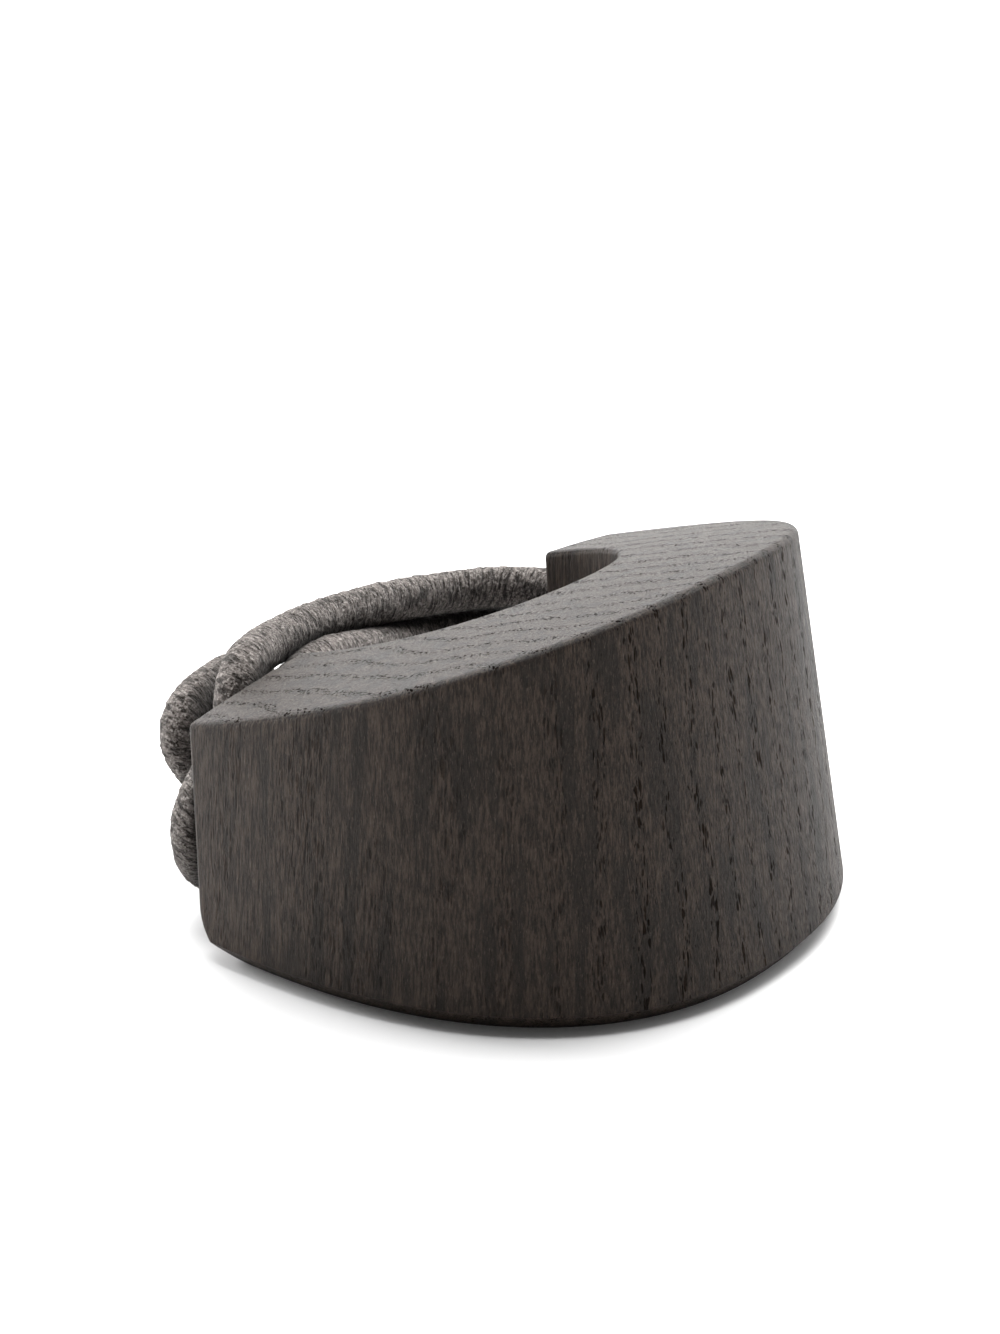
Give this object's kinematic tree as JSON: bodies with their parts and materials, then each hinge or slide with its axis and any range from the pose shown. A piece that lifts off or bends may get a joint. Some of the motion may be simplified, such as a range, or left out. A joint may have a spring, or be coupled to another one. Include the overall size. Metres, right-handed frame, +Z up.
{
  "type": "wooden cuff bracelet with cord loop closure",
  "caption": "Chunky carved dark wooden wrist cuff, open on one side, with a sloping top, closed by a round suede cord loop hooked over a cord knot.",
  "frame": {"origin": "middle of the wooden body's bounding box, in the plane that it stands on", "axes": "+X towards the tall, thick side of the cuff, -X out of its opening, +Y along its longest extent, from the near arm to the far arm, +Z up"},
  "size_m": [0.1055, 0.1029, 0.0641],
  "materials": {
    "stained_wood": "dark stained, ring porous, satin",
    "suede": "napped suede sleeve round the cord",
    "cotton_core": "twisted cotton",
    "glue": "cured clear amber wood glue"
  },
  "bodies": {
    "root": {"cuff_body": "stained_wood", "loop_sleeve": "suede", "loop_core": "cotton_core", "knot_sleeve": "suede", "knot_core": "cotton_core", "glue_loop_top": "glue", "glue_loop_bottom": "glue", "glue_knot": "glue"}
  },
  "joints": []
}
